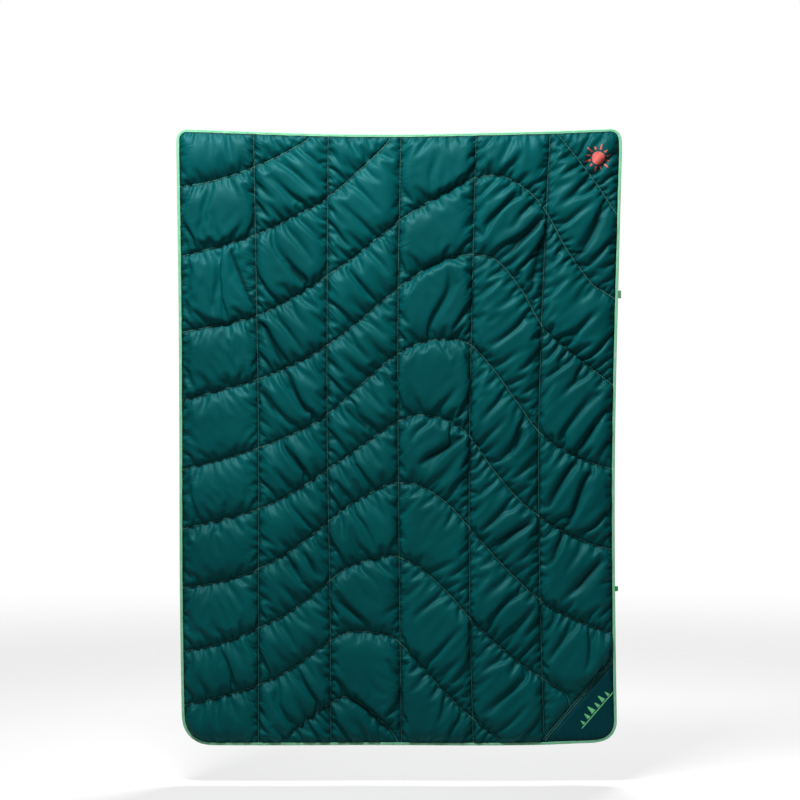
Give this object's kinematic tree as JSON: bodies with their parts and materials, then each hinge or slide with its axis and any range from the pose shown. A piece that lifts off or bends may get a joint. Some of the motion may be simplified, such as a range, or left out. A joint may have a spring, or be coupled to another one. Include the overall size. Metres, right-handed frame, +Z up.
{
  "type": "camp blanket",
  "caption": "Quilted puffy camp blanket with upright and wavy stitched channels, a bound edge with rounded corners, a reinforced corner patch and small side tabs.",
  "frame": {"origin": "the outer edge of the binding at the middle of the top hem, where the blanket is held up", "axes": "+Z up along the blanket's length towards the top hem, +X across its width to the right as seen from the front, +Y through its thickness towards the back"},
  "size_m": [0.9627, 0.0258, 1.3304],
  "materials": {
    "front_fabric": "satin",
    "back_fabric": "satin",
    "patch_fabric": "satin",
    "batting": "matte",
    "binding_tape": "matte",
    "binding_thread": "matte",
    "quilting_thread": "matte",
    "coral_print": "matte",
    "mint_print": "matte",
    "sage_tape": "matte",
    "green_tape": "matte",
    "label_satin": "satin"
  },
  "bodies": {
    "blanket": {"front_shell": "front_fabric", "insulation": "batting", "back_shell": "back_fabric", "edge_binding": "binding_tape", "binding_stitch_front": "binding_thread", "binding_stitch_back": "binding_thread", "upright_seam_1": "quilting_thread", "upright_seam_2": "quilting_thread", "upright_seam_3": "quilting_thread", "upright_seam_4": "quilting_thread", "upright_seam_5": "quilting_thread", "wave_seam_01": "quilting_thread", "wave_seam_02": "quilting_thread", "wave_seam_03": "quilting_thread", "wave_seam_04": "quilting_thread", "wave_seam_05": "quilting_thread", "wave_seam_06": "quilting_thread", "wave_seam_07": "quilting_thread", "wave_seam_08": "quilting_thread", "wave_seam_09": "quilting_thread", "wave_seam_10": "quilting_thread", "wave_seam_11": "quilting_thread", "corner_patch": "patch_fabric", "patch_stitch_1": "quilting_thread", "patch_stitch_2": "quilting_thread", "sun_emblem": "coral_print", "pines_emblem": "mint_print"},
    "upper_tab": {"upper_side_tab": "sage_tape"},
    "lower_tab": {"lower_side_tab": "green_tape"},
    "label": {"care_label": "label_satin"}
  },
  "joints": [
    {"name": "upper_tab_bend", "type": "hinge", "parent": "blanket", "child": "upper_tab", "pos_m": [0.47412, 0, -0.345], "axis": [0, 0, 1], "range_deg": [-80, 80]},
    {"name": "lower_tab_bend", "type": "hinge", "parent": "blanket", "child": "lower_tab", "pos_m": [0.46744, 0, -0.98], "axis": [0, 0, 1], "range_deg": [-80, 80]},
    {"name": "care_label_bend", "type": "hinge", "parent": "blanket", "child": "label", "pos_m": [-0.46576, 0.0032, -1.046], "axis": [0, 0, 1], "range_deg": [0, 135]}
  ]
}
